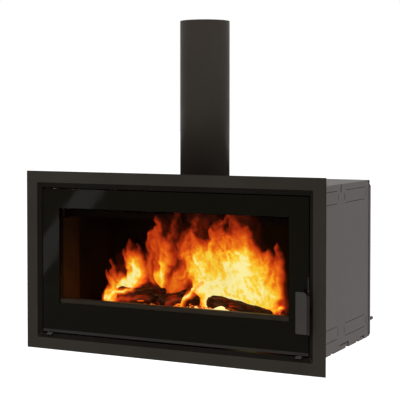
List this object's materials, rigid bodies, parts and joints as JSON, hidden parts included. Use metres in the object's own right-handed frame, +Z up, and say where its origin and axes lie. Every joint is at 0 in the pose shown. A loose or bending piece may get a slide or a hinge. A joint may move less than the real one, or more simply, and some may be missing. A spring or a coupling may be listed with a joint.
{
  "type": "built-in wood fireplace insert",
  "caption": "Wide built-in wood fireplace insert: glazed side-hinged door in a bevelled trim frame, grey convection casing, lined firebox with logs, and a round flue pipe.",
  "frame": {"origin": "centre of the casing's underside, the face the insert stands on in its opening", "axes": "+X to the right seen from the room, +Y into the wall, +Z up"},
  "size_m": [1, 0.545, 1.023],
  "materials": {
    "trim_black": "satin heat-resistant black paint",
    "casing_grey": "satin dark grey paint",
    "flue_black": "satin black enamel",
    "black_steel": "satin black paint",
    "bare_steel": "dull rolled steel",
    "bright_steel": "brushed",
    "ceramic_glass": "polished, with a black printed border",
    "seal_rope": "woven glass-fibre rope",
    "vermiculite": "pressed vermiculite, sooty",
    "cast_iron": "as cast, sooty",
    "motor_black": "matte",
    "bark": "rough bark, charred"
  },
  "bodies": {
    "casing": {"trim_frame": "trim_black", "casing_right": "casing_grey", "casing_left": "casing_grey", "casing_top": "casing_grey", "casing_base": "casing_grey", "casing_rear": "casing_grey", "firebox_face_plate": "black_steel", "firebox_wall_right": "bare_steel", "firebox_wall_left": "bare_steel", "firebox_back": "bare_steel", "firebox_floor": "bare_steel", "firebox_top": "bare_steel", "front_post_right": "vermiculite", "front_post_left": "vermiculite", "side_liner_right": "vermiculite", "side_liner_left": "vermiculite", "back_liner": "vermiculite", "hearth_brick_right": "vermiculite", "hearth_brick_left": "vermiculite", "hearth_brick_front": "vermiculite", "hearth_brick_back": "vermiculite", "grate": "cast_iron", "ash_pan": "bare_steel", "ash_box": "bare_steel", "log_retainer": "cast_iron", "baffle": "vermiculite", "smoke_deflector": "bare_steel", "flue_collar": "cast_iron", "flue_pipe": "flue_black", "hinge_bracket_lower": "black_steel", "hinge_bracket_upper": "black_steel", "latch_catch": "black_steel", "primary_air_guide": "black_steel", "secondary_air_guide": "black_steel", "blower_housing": "black_steel", "blower_motor": "motor_black", "cable_gland": "motor_black", "trim_bracket_right": "bare_steel", "trim_bracket_left": "bare_steel", "log_left": "bark", "log_middle": "bark", "log_right": "bark"},
    "door": {"door_glass": "ceramic_glass", "glass_gasket": "seal_rope", "glass_rail": "bright_steel", "door_frame": "black_steel", "glass_clip_left": "black_steel", "glass_clip_right": "black_steel", "door_rope_seal": "seal_rope", "hinge_pin_lower": "bright_steel", "hinge_pin_upper": "bright_steel", "handle_lug_lower": "black_steel", "handle_lug_upper": "black_steel"},
    "handle": {"door_handle": "black_steel", "handle_rod": "bright_steel", "latch_tongue": "black_steel"},
    "primary_air": {"primary_air_slide": "bright_steel"},
    "secondary_air": {"secondary_air_slide": "bright_steel"},
    "blower": {"blower_rotor": "motor_black"}
  },
  "joints": [
    {"name": "door_swing", "type": "hinge", "parent": "casing", "child": "door", "pos_m": [-0.4325, -0.2225, 0.24], "axis": [0, 0, -1], "range_deg": [0, 100]},
    {"name": "handle_turn", "type": "hinge", "parent": "door", "child": "handle", "pos_m": [0.4495, -0.246, 0.14], "axis": [0, 0, 1], "range_deg": [0, 35]},
    {"name": "primary_air_travel", "type": "slide", "parent": "casing", "child": "primary_air", "axis": [1, 0, 0], "range_m": [0, 0.014]},
    {"name": "secondary_air_travel", "type": "slide", "parent": "casing", "child": "secondary_air", "axis": [-1, 0, 0], "range_m": [0, 0.014]},
    {"name": "blower_spin", "type": "hinge", "parent": "casing", "child": "blower", "pos_m": [0, 0.1975, 0.042], "axis": [1, 0, 0], "continuous": true}
  ]
}
